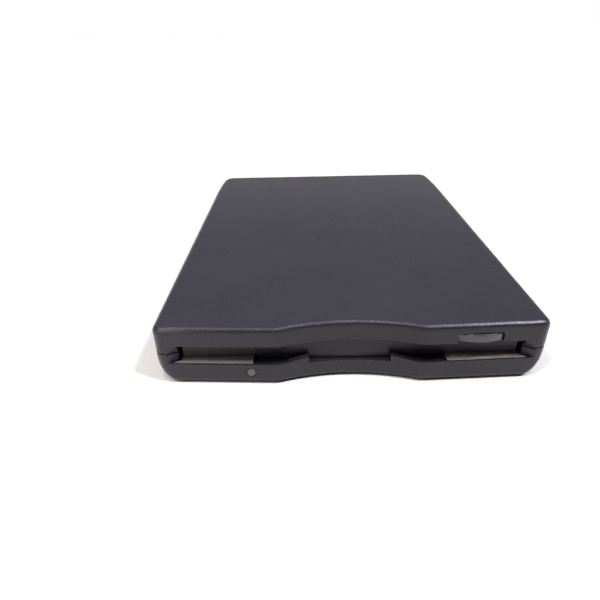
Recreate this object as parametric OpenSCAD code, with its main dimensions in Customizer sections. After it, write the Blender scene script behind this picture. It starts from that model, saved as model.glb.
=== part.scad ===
// External drive for 90 mm floppy disks: a moulded two-piece housing round a slim drive mechanism.
// X to the right, Y to the back, Z up. The origin is the middle of the outline, on the surface it stands on.

/* [Housing] */
// Width across the side walls
body_w = 104; // [102:1:110]
// Depth from the front shoulders to the back wall
body_d = 142; // [141:1:150]
// Height of the two shells together
body_h = 17; // [16.9:0.1:19]
// Room between the chassis and a side wall
side_room = 2.2; // [2:0.1:4]
// Thickness of the outer walls
wall = 1.8; // [1.5:0.1:1.9]
// Thickness of the top face
top_t = 1.7; // [1.3:0.1:1.8]
// Thickness of the floor
floor_t = 1.6; // [1.4:0.1:1.7]
// Parting line, measured down from the top face
seam_drop = 7.9; // [7.5:0.1:8.1]
// Height of the shadow groove along the parting line
groove = 0.35; // [0.2:0.05:0.5]
// Depth of that groove
groove_in = 0.6; // [0.4:0.05:0.7]
// Radius of the edge round the top face
top_r = 1.8; // [1:0.1:2]
// Width of the rounding along the lower side edges
side_r = 4; // [2.5:0.5:5]
// Height of that rounding
side_h = 7; // [4:0.5:7.5]
// Radius of the lower front and back edges
base_r = 0.9; // [0.5:0.1:1.2]
// Radius of the front corners seen from above
corner_r = 2.7; // [2.2:0.1:4]
// Radius of the back corners seen from above
back_r = 5; // [4:0.5:8]
// How far the sides draw in at the back
taper = 1.4; // [0.8:0.1:1.6]
// Length over which the sides draw in
taper_l = 24; // [18:1:30]

/* [Front wave] */
// How far the front falls back from the shoulders to the corners
bow = 1.4; // [0.5:0.1:1.8]
// Half width of the hollow in the middle of the front
scoop_half = 19.2; // [15:0.1:20]
// Depth of the hollow
scoop_depth = 3.2; // [2:0.1:3.3]
// Radius of the two shoulders beside the hollow
shoulder_r = 6; // [4:0.5:10]

/* [Disk] */
// Play of the disk case on each side between the sheets
disk_play = 0.6; // [0.4:0.1:0.8]
// Thickness of the disk case
disk_t = 3.3; // [3.2:0.05:3.3]
// Distance from the hub's centre to the leading edge of the disk
hub_to_edge = 45; // [44:0.5:46]

/* [Disk mouth] */
// Top edge of the slot, measured down from the top face
slot_drop = 5.5; // [5.3:0.1:5.7]
// Height of the slot
slot_h = 5.8; // [5.5:0.1:5.8]
// Room beside the disk on each side of the mouth
mouth_gap = 1.1; // [0.8:0.1:1.2]
// Width of the slanted faces at the ends of the mouth
flare = 2.8; // [2:0.1:3]
// Depth of those faces
flare_depth = 2; // [1.5:0.1:2.2]
// Depth of the upper shell's slanted faces at the parting line
facet_depth = 1.3; // [1:0.1:1.5]
// Lean of the slot's ends in the upper shell
mouth_lean = 0.35; // [0.1:0.05:0.5]
// Distance from the front shoulders to the door
door_depth = 4.2; // [4:0.1:4.3]
// Fall of the parting line across the slanted faces
seam_fall = 0.55; // [0.4:0.05:0.8]
// Gap between the shells across the slanted faces
seam_gap = 0.4; // [0.3:0.05:0.5]
// Half width of the finger notch in the lower lip
notch_half = 11; // [9:0.5:13]
// Drop of the lip inside the finger notch
notch_drop = 1; // [0.6:0.1:1.2]
// Rise of the lip beside the finger notch
lip_rise = 0.9; // [0.5:0.1:1.2]
// Length of that rise
lip_ramp = 5.5; // [4:0.5:7]
// Thickness of the lower lip's wall
lip_t = 1.6; // [1.4:0.1:1.7]
// Thickness of the rim in front of the metal ledge
rim_t = 0.6; // [0.5:0.05:0.8]

/* [Feet and screws] */
// Height of the feet below the floor
foot_h = 0.8; // [0.6:0.1:1.5]
// Diameter of the feet
foot_d = 8; // [6:0.5:9]
// Depth of the recess that holds a foot
foot_seat = 0.4; // [0.3:0.1:0.6]
// Distance of the feet from the side walls
foot_side = 14; // [12:1:18]
// Distance of the feet from the front and the back
foot_end = 13; // [12:1:16]
// Radius of the screws' shanks
screw_r = 1.2; // [1:0.1:1.3]
// Radius of the screws' heads
screw_head_r = 2.2; // [2:0.1:2.4]
// Thickness of the screws' heads
screw_head_t = 0.8; // [0.7:0.1:0.9]
// Radius of the bosses that the case screws hold
boss_r = 2.8; // [2.4:0.1:3.2]

/* [Sheet metal] */
// Thickness of the chassis sheet
chassis_t = 0.7; // [0.6:0.1:0.8]
// Thickness of the holder sheet
holder_t = 0.5; // [0.4:0.1:0.6]
// Thickness of the slider sheet
slider_t = 0.6; // [0.5:0.1:0.7]
// Thickness of the top shield
shield_t = 0.4; // [0.3:0.1:0.5]
// Gap between sheets that slide past each other
sheet_gap = 0.3; // [0.2:0.05:0.35]
// Height of the lowered disk above the chassis underside
chassis_depth = 3.7; // [3.6:0.1:3.9]

/* [Eject mechanism] */
// Travel of the slider and the eject button
eject_travel = 5; // [4:0.5:5]
// Drop of the disk holder
holder_drop = 2; // [1.6:0.1:2]
// Radius of the holder's guide pins
guide_r = 0.9; // [0.7:0.1:1]
// Width of the eject button
button_w = 11.6; // [10:0.2:12]
// Height of the eject button
button_h = 2.5; // [2.3:0.1:2.6]
// Middle of the eject button, right of the centre
button_x = 33.6; // [32:0.1:35]
// How far the middle of the button stands in front of its ends
button_crown = 1.3; // [0.8:0.1:1.6]
// Length of the shutter lever from its post to its pin
lever_l = 24; // [22:1:24]
// Angle of the shutter lever at rest, and the same angle behind the post with a disk in
lever_half_swing = 40; // [36:1:40]

/* [Dust door] */
// Thickness of the door
door_t = 0.9; // [0.7:0.1:1]
// Radius of the door's pivot pins
door_pin_r = 0.6; // [0.5:0.05:0.65]
// Gap between the door's ends and the mouth
door_gap = 1; // [0.5:0.1:1.2]

/* [Spindle] */
// Radius of the rotor cup
rotor_r = 19; // [17:0.5:19.5]
// Radius of the hub table
hub_r = 12.5; // [11.5:0.5:13]
// Radius of the pin that centres the disk
spindle_r = 1.95; // [1.8:0.05:1.98]
// Radius of the motor shaft
shaft_r = 1.25; // [1:0.05:1.5]
// Distance of the drive pin from the spindle
drive_pin_at = 10; // [9:0.5:10]

/* [Heads] */
// Radius of the outermost track
track_zero_r = 39.5; // [39:0.5:40]
// Travel of the heads over 79 track steps
head_travel = 14.8; // [14:0.2:14.8]
// Side of the square heads
head_w = 3.2; // [2.6:0.2:3.6]
// Half width of the head carriage
carriage_half = 8; // [7:0.5:8.5]
// Radius of the guide rods
rod_r = 1.2; // [1:0.1:1.25]
// Distance of the guide rods from the centre line
rod_x = 12; // [11:0.5:13]
// Swing of the upper head arm
arm_swing = 9.2; // [9:0.1:9.3]

/* [Stepper motor] */
// Radius of the stepper motor
stepper_r = 4.9; // [4:0.1:4.9]
// Length of the stepper motor
stepper_l = 10.5; // [9:0.5:11]
// Distance of the stepper motor from the centre line
stepper_x = 27; // [26:0.5:30]
// Radius of the lead screw
screw_shaft_r = 1.1; // [0.9:0.1:1.3]
// Lead of the screw
screw_lead = 3; // [2:0.5:4]

/* [Switches] */
// Distance of the corner switches from the sides of the disk
switch_in = 6.5; // [6:0.5:8]
// Radius of the switch plungers
plunger_r = 0.9; // [0.7:0.1:1.1]
// Travel of the switch plungers
plunger_travel = 1.6; // [1.2:0.1:1.6]

/* [Boards and socket] */
// Thickness of the circuit boards
board_t = 1; // [0.8:0.1:1.2]
// Depth of the interface board
usb_board_d = 11.4; // [10.5:0.1:11.6]
// Outer width of the cable socket
socket_w = 7.7; // [7.4:0.1:8]
// Outer height of the cable socket
socket_h = 3.9; // [3.7:0.1:4]
// Length of the cable socket
socket_l = 9.2; // [8:0.1:9.4]
// Middle of the cable socket, right of the centre
socket_x = -20; // [-30:1:0]
// Radius of the drive light
led_r = 1.3; // [1:0.1:1.3]
// Middle of the drive light, right of the centre
led_x = -26.5; // [-29:0.5:-24]
// Middle of the drive light, measured down from the top face
led_drop = 13.9; // [13.7:0.1:14]

/* [Fits] */
// Radial clearance of pins and shafts in their holes
running = 0.05; // [0.02:0.01:0.1]
// Gap between neighbours that don't touch
clear = 0.25; // [0.2:0.05:0.3]

/* [Hidden] */
$fn = 48;
eps = 0.01;

// levels
z_base = foot_h;
z_top = z_base + body_h;
z_floor = z_base + floor_t;
z_ceiling = z_top - top_t;
z_seam = z_top - seam_drop;
z_slot = z_top - slot_drop;
z_lip = z_slot - slot_h;
z_notch = z_lip - notch_drop;
z_rebate = z_lip - chassis_t - 0.1;

// sheets between a side wall and the disk, from the outside in
chassis_out = body_w / 2 - wall - side_room;
chassis_in = chassis_out - chassis_t;
slider_out = chassis_in - sheet_gap;
slider_in = slider_out - slider_t;
holder_out = slider_in - sheet_gap;
holder_in = holder_out - holder_t;
disk_w = 2 * (holder_in - disk_play);
mouth_half = disk_w / 2 + mouth_gap;

// what stands one behind the other, from the front face to the back wall
y_front = -body_d / 2;
y_back = body_d / 2;
drive_board_d = 22;
board_tail = 5;
usb_board_y = y_back - wall - clear - usb_board_d;
y_chassis_end = usb_board_y - 1.55;
y_disk_end = y_chassis_end - drive_board_d - board_tail;
y_disk = y_front + door_depth + door_t + 0.9;
disk_l = y_disk_end - y_disk;
spindle_y = y_disk_end - hub_to_edge;

// the disk, raised in the mouth's line and lowered onto the spindle
disk_room = 0.2;
z_up = z_slot - 2 * disk_room - disk_t;
z_down = z_up - holder_drop;
z_chassis = z_down - chassis_depth;
z_deck = z_chassis + chassis_t;

// sheets above and below the disk
z_roof = z_up + disk_t + disk_room;
z_rail = z_up - disk_room - holder_t;
z_lever = z_roof + holder_t + 0.1;
lever_t = 0.5;
z_slider = z_roof + holder_t + 1.7;
z_shield = z_slider + slider_t + sheet_gap;
skirt_h = 2.6;

// lengths of the mechanism
y_holder = y_disk + 6.4;
y_holder_end = y_disk_end + 9;
y_slider = y_holder + 1.5;
y_slider_end = y_holder_end - 2;
y_chassis = y_disk + 0.5;
chassis_wall_h = z_slider - 0.05 - z_chassis;
guide_y = [y_holder + 11, y_holder_end - 19];
guide_z = z_up + 2;
slot_r = guide_r + running;

// dust door
door_y = y_front + door_depth + door_t / 2;
door_z = z_slot + 0.6;
door_half = mouth_half - door_gap;
door_foot = z_lip + 0.4;
door_tab_foot = z_notch + 0.4;
door_tab_half = 25;
door_barrel_r = 0.75;
door_barrel_half = door_half - 2.2;

// eject button
button_z = z_slot + 0.15;
button_back = y_front + 2.8;
button_stem = 0.9;

// spindle stack
z_motor_board = z_deck;
motor_board_t = 0.6;
z_coils = z_motor_board + motor_board_t;
coil_h = 0.9;
z_cup_top = z_down - 0.35;
cup_t = 0.4;
z_magnet = z_coils + 0.35;
magnet_t = 2;
z_hub = z_cup_top;
hub_h = 0.5;
bearing_r = 2.9;

// heads and their carriage
head_y = spindle_y + track_zero_r;
tower_y = y_disk_end + head_travel + 0.7;
tower_l = 6;
z_rod = z_deck + rod_r + 0.35;
z_media = z_down + disk_t / 2;
tongue_half = 4.5;
tongue_top = z_down - 0.4;
arm_y = tower_y + tower_l - 2;
arm_z = z_down + disk_t + 1.5;
arm_pin_r = 0.7;
z_upper_head = z_media + 0.08;
upper_head_h = 1.72;
arm_t = 0.4;
arm_cheek_t = 1;

// stepper and lead screw
z_screw = z_deck + stepper_r + 0.1;
y_stepper = tower_y + tower_l;
y_screw = y_disk_end + 2;

// boards
drive_board_w = chassis_in - 1 - rod_x - 3.3;
drive_board_x = -chassis_in + 1;
drive_board_y = y_chassis_end - drive_board_d - 1;
z_drive_board = z_deck + 0.8;
usb_board_x0 = -body_w / 2 + 11;
usb_board_x1 = stepper_x - stepper_r - 4;
z_usb_board = z_floor + 2;
z_usb_top = z_usb_board + board_t;
board_screw_x = [usb_board_x0 + 3, usb_board_x1 - 3];
board_screw_y = usb_board_y + usb_board_d - 2.1;
board_screw_r = 0.8;

// feet, screws and light
foot_x = body_w / 2 - foot_side;
foot_y = body_d / 2 - foot_end;
mount_x = chassis_in - 5.3;
mount_y = [y_chassis + 12, y_chassis_end - 9];
case_x = body_w / 2 - wall - boss_r - 1.6;
case_y = y_back - wall - boss_r - 0.6;
z_led = z_top - led_drop;

steel = "silver";
shell_black = "#37353b";

// ---- outline of the housing ----

// Points on an arc from angle a0 to a1 in n steps
function arc(c, r, a0, a1, n) =
    [for (i = [0:n]) [c[0] + r * cos(a0 + (a1 - a0) * i / n), c[1] + r * sin(a0 + (a1 - a0) * i / n)]];

function mirrored(points) = [for (i = [len(points) - 1:-1:0]) [-points[i][0], points[i][1]]];

// slope of the front from a shoulder to a corner, and the length of its normal
front_slope = bow / (body_w / 2 - scoop_half);
front_norm = sqrt(1 + front_slope * front_slope);
front_angle = atan(front_slope);

// the hollow's circle and a shoulder's circle
scoop_r = (scoop_half * scoop_half + scoop_depth * scoop_depth) / (2 * scoop_depth);
scoop_y = y_front + scoop_depth - scoop_r;
shoulder_a = y_front - scoop_half * front_slope + shoulder_r * front_norm - scoop_y;
shoulder_q = 1 + front_slope * front_slope;
shoulder_x = (-shoulder_a * front_slope + sqrt(pow(shoulder_a * front_slope, 2)
    - shoulder_q * (shoulder_a * shoulder_a - pow(scoop_r + shoulder_r, 2)))) / shoulder_q;
shoulder_y = shoulder_a + front_slope * shoulder_x + scoop_y;
shoulder_angle = atan2(shoulder_y - scoop_y, shoulder_x);

// Front face at a distance x from the centre line, outside the hollow
function front_y(x) = y_front + (abs(x) - scoop_half) * front_slope;

taper_r = (taper_l * taper_l + taper * taper) / (2 * taper);

// Outline set in by "ends" at the front and back and by "sides" at the sides
function outline(ends = 0, sides = 0) =
    let (
        half = body_w / 2 - sides,
        rf = max(corner_r - min(ends, sides), 0.6),
        fx = half - rf,
        fy = front_y(fx) + (ends + rf) * front_norm,
        rb = max(back_r - min(ends, sides), 2),
        ry = y_back - taper_l,
        tr = taper_r - sides,
        rx = half - tr,
        by = y_back - ends - rb,
        bx = rx + sqrt(pow(tr - rb, 2) - pow(by - ry, 2)),
        back_angle = atan2(by - ry, bx - rx),
        right = concat(
            arc([shoulder_x, shoulder_y], shoulder_r - ends, shoulder_angle + 180, 270 + front_angle, 3),
            arc([fx, fy], rf, 270 + front_angle, 360, 4),
            arc([rx, ry], tr, 0, back_angle * 0.999, 3),
            arc([bx, by], rb, back_angle, 90, 4)
        )
    )
    concat(
        arc([0, scoop_y], scoop_r + ends, 180 - shoulder_angle, shoulder_angle, 12),
        [for (i = [1:len(right) - 1]) right[i]],
        mirrored([for (i = [1:len(right) - 1]) right[i]])
    );

// Solid through a stack of outlines, one at each level
module loft(levels, rings) {
    n = len(rings[0]);
    points = [for (k = [0:len(levels) - 1]) for (p = rings[k]) [p[0], p[1], levels[k]]];
    quads = [for (k = [0:len(levels) - 2]) for (i = [0:n - 1])
        [k * n + i, (k + 1) * n + i, (k + 1) * n + (i + 1) % n, k * n + (i + 1) % n]];
    sides = [for (q = quads) each [[q[0], q[1], q[2]], [q[0], q[2], q[3]]]];
    last = (len(levels) - 1) * n;
    hubs = [[0, 0, levels[0]], [0, 0, levels[len(levels) - 1]]];
    caps = [for (i = [0:n - 1]) each [[last + n, i, (i + 1) % n],
        [last + n + 1, last + (i + 1) % n, last + i]]];
    polyhedron(concat(points, hubs), concat(caps, sides));
}

// Inset of a rounded edge, r wide and h high, at height t above its foot
function edge_inset(r, h, t) = t >= h ? 0 : r * (1 - sqrt(1 - pow(1 - t / h, 2)));

module ring(z, h, outer, inner) {
    translate([0, 0, z]) linear_extrude(h) difference() {
        polygon(outline(outer, outer));
        polygon(outline(inner, inner));
    }
}

module at_sides() {
    children();
    mirror([1, 0, 0]) children();
}

// A box from corner to corner
module box(a, b) {
    translate(a) cube(b - a);
}

// A box with its vertical edges rounded
module round_box(a, b, r) {
    translate([0, 0, a[2]]) linear_extrude(b[2] - a[2]) round_rect([a[0], a[1]], [b[0], b[1]], r);
}

module round_rect(a, b, r) {
    translate([a[0] + r, a[1]]) square([b[0] - a[0] - 2 * r, b[1] - a[1]]);
    translate([a[0], a[1] + r]) square([b[0] - a[0], b[1] - a[1] - 2 * r]);
    for (x = [a[0] + r, b[0] - r], y = [a[1] + r, b[1] - r]) translate([x, y]) circle(r);
}

// A profile drawn in X and Z, pushed back along Y from y0 to y1
module along_y(y0, y1) {
    translate([0, y1, 0]) rotate([90, 0, 0]) linear_extrude(y1 - y0) children();
}

// A profile drawn in Y and Z, pushed along X from x0 to x1
module along_x(x0, x1) {
    translate([x0, 0, 0]) rotate([90, 0, 90]) linear_extrude(x1 - x0) children();
}

// ---- housing ----

// Space of the disk mouth seen from above, with its slanted ends
module mouth_plan(half, y_end) {
    y_in = front_y(mouth_half + flare) + flare_depth;
    reach = y_in - y_front + 2;
    out = half + flare * reach / flare_depth;
    polygon([
        [-out, y_in - reach], [out, y_in - reach], [half, y_in], [half, y_end], [-half, y_end], [-half, y_in]
    ]);
}

// Slanted face of the upper shell at an end of the mouth: a plane from the front face at the slot's
// top corner down and back to the parting line
module mouth_facet() {
    slope = flare / facet_depth;
    x = mouth_half - 1;
    y = y_front - 1;
    y_seam = front_y(mouth_half + flare) + (flare + 1) / slope;
    y_slot = front_y(mouth_half) - 0.02 + (1 - mouth_lean) / slope;
    polyhedron([
        [x, y, z_seam], [x + (y_seam - y) * slope, y, z_seam], [x, y_seam, z_seam],
        [x, y, z_slot], [x + (y_slot - y) * slope, y, z_slot], [x, y_slot, z_slot]
    ], [[0, 1, 2], [5, 4, 3], [3, 4, 1, 0], [4, 5, 2, 1], [5, 3, 0, 2]]);
}

// Slot of the upper shell, as a profile in X and Z
module slot_profile() {
    top_half = mouth_half - mouth_lean;
    polygon([[-mouth_half, z_seam - 3], [mouth_half, z_seam - 3], [mouth_half, z_seam],
        [top_half, z_slot], [-top_half, z_slot], [-mouth_half, z_seam]]);
}

// Cheeks beside the mouth, which close the shells' front corners
module cheeks(z0, z1) {
    at_sides() box([mouth_half, y_front - 1, z0], [body_w / 2, y_disk - 0.1, z1]);
}

// The parting line falls towards the mouth across the slanted faces
module cheek_wedge(grow) {
    at_sides() along_y(y_front - 1, y_disk - 0.1 + grow)
        polygon([[mouth_half + flare, z_seam + eps], [mouth_half - eps, z_seam + eps],
            [mouth_half - eps, z_seam - seam_fall - grow],
            [mouth_half + flare, z_seam - groove - grow]]);
}

module button_opening(grow) {
    half = button_w / 2 + grow;
    top = button_z + button_h + grow;
    along_y(y_front - 3, y_front + 6) translate([button_x, 0])
        difference() {
            translate([-half, z_slot - 1]) square([2 * half, top - z_slot + 1]);
            for (s = [-1, 1]) translate([s * half, top]) difference() {
                square(1.6, center = true);
                translate([-s * 0.8, -0.8]) circle(0.8);
            }
        }
}

module top_cover() {
    fillet = [for (a = [0:22.5:90]) [z_top - top_r + top_r * sin(a), top_r * (1 - cos(a))]];
    levels = concat([z_seam], [for (f = fillet) f[0]]);
    rings = concat([outline()], [for (f = fillet) outline(f[1], f[1])]);
    color(shell_black) difference() {
        union() {
            loft(levels, rings);
            cheek_wedge(0);
        }
        difference() {
            translate([0, 0, z_seam - 1]) linear_extrude(z_ceiling - z_seam + 1)
                polygon(outline(wall, wall));
            cheeks(0, z_top);
        }
        // room for the tongue of the lower shell
        difference() {
            ring(z_seam - eps, tongue_h + clear, wall - tongue_t - running, wall + 1);
            box([-body_w, y_front - 1, 0], [body_w, y_tongue - clear, z_top]);
        }
        along_y(y_front - 2, y_disk + 1) slot_profile();
        translate([0, 0, z_seam - 3]) linear_extrude(3) mouth_plan(mouth_half, y_disk + 1);
        at_sides() mouth_facet();
        // pocket for the door's pivot
        box([-mouth_half, y_front + door_depth - 0.3, z_slot - 1],
            [mouth_half, y_disk + 1, door_z + door_barrel_r + clear]);
        at_sides() along_x(0, mouth_half + 1.5)
            translate([door_y, door_z]) circle(door_pin_r + running);
        button_opening(clear);
    }
    color(shell_black) case_bosses();
}

tongue_t = 0.8;
tongue_h = 1;
y_tongue = y_disk + 4;
shelf_t = 1.2;
ledge_inner = 26;

// Bosses under the top face that take the case screws
module case_bosses() {
    for (s = [-1, 1]) translate([s * case_x, case_y, case_post_z]) difference() {
        cylinder(h = z_ceiling - case_post_z, r = boss_r);
        translate([0, 0, -eps]) cylinder(h = case_screw_l, r = screw_r + running);
    }
}

case_post_z = z_floor + 3;
case_screw_l = 8;

// Ramps and finger notch of the lower lip, as a profile in X and Z
module lip_line(z_end) {
    wide = body_w / 2 + 1;
    polygon([
        [-wide, z_lip], [-notch_half - lip_ramp, z_lip], [-notch_half, z_lip + lip_rise],
        [-notch_half, z_notch], [notch_half, z_notch], [notch_half, z_lip + lip_rise],
        [notch_half + lip_ramp, z_lip], [wide, z_lip], [wide, z_end], [-wide, z_end]
    ]);
}

module bottom_cover() {
    steps = [for (t = [0, 0.02, 0.06, 0.129, 0.25, 0.42, 0.65, 1]) t * side_h];
    levels = concat([for (t = steps) z_base + t], [z_seam - groove, z_seam - groove + eps, z_seam]);
    rings = concat([for (t = steps) outline(edge_inset(base_r, base_r, t), edge_inset(side_r, side_h, t))],
        [outline(), outline(groove_in, groove_in), outline(groove_in, groove_in)]);
    color(shell_black) difference() {
        union() {
            difference() {
                loft(levels, rings);
                difference() {
                    translate([0, 0, z_floor]) linear_extrude(z_seam)
                        polygon(outline(wall, wall));
                    cheeks(0, z_top);
                    lip_wall();
                }
                intersection() {
                    translate([0, 0, z_floor]) linear_extrude(z_top)
                        mouth_plan(mouth_half, y_disk + 1);
                    along_y(y_front - 1, y_disk + 1) lip_line(z_top);
                }
                ledge_rebate();
                cheek_wedge(seam_gap);
            }
            shell_tongue();
            lip_shelf();
            floor_pads();
            case_posts();
            board_posts();
        }
        foot_seats();
        screw_holes_through_floor();
        translate([led_x, 0, z_led]) rotate([90, 0, 0]) translate([0, 0, -y_front - 6])
            cylinder(h = 8, r = led_r + running);
        back_socket_hole();
    }
}

// Wall behind the lower lip, thinner than the side walls
module lip_wall() {
    difference() {
        box([-mouth_half - 1, y_front, 0], [mouth_half + 1, y_disk - 1, z_top]);
        translate([0, 0, -1]) linear_extrude(z_top + 2) polygon(outline(lip_t, wall));
    }
}

// Step behind the rim, where the metal ledges lie
module ledge_rebate() {
    for (s = [-1, 1]) intersection() {
        translate([0, 0, z_rebate]) linear_extrude(z_top) polygon(outline(rim_t, wall));
        translate([0, 0, z_rebate]) linear_extrude(z_top) mouth_plan(mouth_half + 0.2, y_disk + 1);
        box([s > 0 ? notch_half + lip_ramp : -body_w / 2, y_front, 0],
            [s > 0 ? body_w / 2 : -notch_half - lip_ramp, y_disk + 0.2, z_lip + 1]);
    }
}

// Shelf behind the middle of the lip, under the door
module lip_shelf() {
    intersection() {
        translate([0, 0, z_notch - shelf_t]) linear_extrude(shelf_t) polygon(outline(lip_t / 2, wall));
        box([-ledge_inner + clear, y_front, 0], [ledge_inner - clear, y_chassis - 0.7, z_top]);
    }
}

// Tongue on the side and back walls that lines the shells up
module shell_tongue() {
    difference() {
        ring(z_seam - 1, tongue_h + 1, wall - tongue_t, wall);
        box([-body_w, y_front - 1, 0], [body_w, y_tongue, z_top]);
        box([socket_x - socket_w / 2 - 1, 0, 0], [socket_x + socket_w / 2 + 1, body_d, z_top]);
    }
}

// Pads and screw columns that carry the chassis
module floor_pads() {
    for (s = [-1, 1], y = mount_y) translate([s * mount_x, y, z_floor - eps])
        cylinder(h = z_chassis - z_floor + eps, r = 3.4);
}

module case_posts() {
    for (s = [-1, 1]) translate([s * case_x, case_y, z_floor - eps])
        cylinder(h = case_post_z - z_floor + eps, r = boss_r);
}

// Posts that carry the interface board
module board_posts() {
    for (x = board_screw_x) translate([x, board_screw_y, 0]) difference() {
        translate([0, 0, z_floor - eps]) cylinder(h = z_usb_board - z_floor + eps, r = 1.8);
        translate([0, 0, z_floor + 0.3]) cylinder(h = z_usb_board, r = board_screw_r + running);
    }
}

module foot_seats() {
    for (x = [-foot_x, foot_x], y = [-foot_y, foot_y])
        translate([x, y, z_base - 1]) cylinder(h = 1 + foot_seat, r = foot_d / 2 + running);
}

module screw_holes_through_floor() {
    for (s = [-1, 1], y = mount_y) translate([s * mount_x, y, 0]) screw_hole();
    for (s = [-1, 1]) translate([s * case_x, case_y, 0]) screw_hole();
}

module screw_hole() {
    cylinder(h = z_top / 2, r = screw_r + running);
    cylinder(h = z_base + screw_head_t + 0.1, r = screw_head_r + 0.15);
}

// Opening in the back wall for the cable socket, up to the parting line
module back_socket_hole() {
    grow = 0.35;
    along_y(y_back - wall - 0.5, y_back + 1)
        round_rect([socket_x - socket_w / 2 - grow, z_usb_top - grow],
            [socket_x + socket_w / 2 + grow, z_seam + 1], 0.7);
}

module rubber_feet() {
    color("dimgray") for (x = [-foot_x, foot_x], y = [-foot_y, foot_y]) translate([x, y, 0]) {
        cylinder(h = 0.3, r1 = foot_d / 2 - 0.3, r2 = foot_d / 2);
        translate([0, 0, 0.3]) cylinder(h = foot_h + foot_seat - 0.3, r = foot_d / 2);
    }
}

// A screw standing on its head, with a cross recess
module screw(length) {
    translate([0, 0, z_base + 0.1]) {
        difference() {
            cylinder(h = screw_head_t, r = screw_head_r);
            for (a = [0, 90]) rotate(a) translate([-1.3, -0.25, -eps]) cube([2.6, 0.5, 0.45]);
        }
        cylinder(h = length, r = screw_r);
    }
}

module case_screws() {
    color(steel) for (s = [-1, 1]) translate([s * case_x, case_y, 0]) screw(case_screw_l + 2);
}

module chassis_screws() {
    color(steel) for (s = [-1, 1], y = mount_y) translate([s * mount_x, y, 0])
        screw(z_deck + 0.4 - z_base - 0.1);
}

module light_pipe() {
    color("gray") translate([led_x, 0, z_led]) rotate([90, 0, 0]) {
        translate([0, 0, -front_y(led_x) - 5.2]) cylinder(h = 4.9, r = led_r);
        translate([0, 0, -front_y(led_x) - 0.3]) cylinder(h = 0.3, r1 = led_r, r2 = led_r - 0.2);
    }
}

module drive_led() {
    y0 = front_y(led_x) + 5.2 + clear;
    color("white") translate([led_x, y0, 0]) {
        box([-1.5, 0.2, z_floor + 0.1], [1.5, 2.2, z_led + 1.1]);
        translate([0, 0.2, z_led]) rotate([90, 0, 0]) cylinder(h = 0.2, r = 0.9);
        box([-4, 2.2, z_floor + 0.1], [4, 3, z_deck + 2.6]);
    }
}

// ---- chassis and shield ----

// Cut-outs in the chassis deck, seen from above
module deck_openings() {
    translate([0, spindle_y]) circle(bearing_r);
    round_rect([-9, y_disk_end + 12], [9, y_chassis_end - 5], 1.5);
    for (s = [-1, 1]) round_rect([s * 32 - 5, spindle_y - 8], [s * 32 + 5, spindle_y + 26], 2);
    translate([led_x - 5, y_chassis - 1]) square([10, 5]);
    for (s = [-1, 1], y = mount_y) translate([s * mount_x, y]) circle(screw_r + running);
}

// Metal ledge behind the lower lip, right side
module chassis_ledge() {
    z = z_rebate + 0.05;
    intersection() {
        translate([0, 0, z]) linear_extrude(chassis_t) polygon(outline(rim_t + clear, wall));
        translate([0, 0, z - 1]) linear_extrude(chassis_t + 2)
            mouth_plan(mouth_half - 0.5, y_disk + 1);
        box([ledge_inner, y_front, z - 1], [body_w / 2, y_chassis + chassis_t, z + 2]);
    }
    box([ledge_inner + 6, y_chassis, z_chassis], [mouth_half - 1, y_chassis + chassis_t, z + chassis_t]);
}

module chassis() {
    color(steel) difference() {
        union() {
            translate([0, 0, z_chassis]) linear_extrude(chassis_t) difference() {
                translate([-chassis_out, y_chassis])
                    square([2 * chassis_out, y_chassis_end - y_chassis]);
                deck_openings();
            }
            at_sides() {
                box([chassis_in, y_chassis, z_chassis],
                    [chassis_out, y_chassis_end, z_chassis + chassis_wall_h]);
                chassis_ledge();
            }
            difference() {
                box([-chassis_out, y_chassis_end - chassis_t, z_chassis],
                    [chassis_out, y_chassis_end, z_chassis + 8]);
                translate([stepper_x, y_chassis_end + 1, z_screw]) rotate([90, 0, 0])
                    cylinder(h = 3, r = stepper_r + clear);
                box([stepper_x - stepper_r - clear, y_chassis_end - 2, z_screw],
                    [stepper_x + stepper_r + clear, y_chassis_end + 1, z_top]);
                // way through for the flat cable
                box([cable_x0 - 2, y_chassis_end - 2, z_drive_board + board_t],
                    [cable_x1 + 2, y_chassis_end + 1, z_top]);
            }
            disk_posts();
        }
        // upright slots for the holder's guide pins, open at the top
        for (y = guide_y) {
            box([-chassis_out - 1, y - slot_r, guide_z - holder_drop],
                [chassis_out + 1, y + slot_r, z_top]);
            translate([-chassis_out - 1, y, guide_z - holder_drop]) rotate([0, 90, 0])
                cylinder(h = 2 * chassis_out + 2, r = slot_r);
        }
        // cut-outs that lighten the side walls
        for (y = [guide_y[0] + 14, guide_y[0] + 34])
            box([-chassis_out - 1, y, z_chassis + 3], [chassis_out + 1, y + 12, z_chassis + 8]);
    }
}

// Posts that the lowered disk rests on; the rear pair have locating tips
module disk_posts() {
    post_x = disk_w / 2 - 8;
    for (s = [-1, 1]) {
        translate([s * post_x, y_disk + 18, z_deck - eps]) cylinder(h = z_down - z_deck + eps, r = 1.5);
        translate([s * post_x, y_disk_end - 8, z_deck - eps]) cylinder(h = z_down - z_deck + eps, r = 1.5);
        translate([s * post_x, y_disk_end - 8, z_down - eps]) cylinder(h = 1, r1 = 1, r2 = 0.6);
    }
}

module top_shield() {
    out = chassis_out + 0.1;
    color(steel) {
        difference() {
            round_box([-out - shield_t, y_slider - eject_travel + 3, z_shield],
                [out + shield_t, y_chassis_end, z_shield + shield_t], 1);
            // slots between the stiffening strips
            for (x = [-30, 30], y = [-30, -8, 14])
                round_box([x - 7, y - 1, z_shield - 1], [x + 7, y + 1, z_top], 0.9);
        }
        at_sides() for (y = [y_chassis + 14, spindle_y + 4, y_chassis_end - 22])
            box([out, y, z_shield - skirt_h], [out + shield_t, y + 14, z_shield + eps]);
    }
}

// ---- eject mechanism ----

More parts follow.
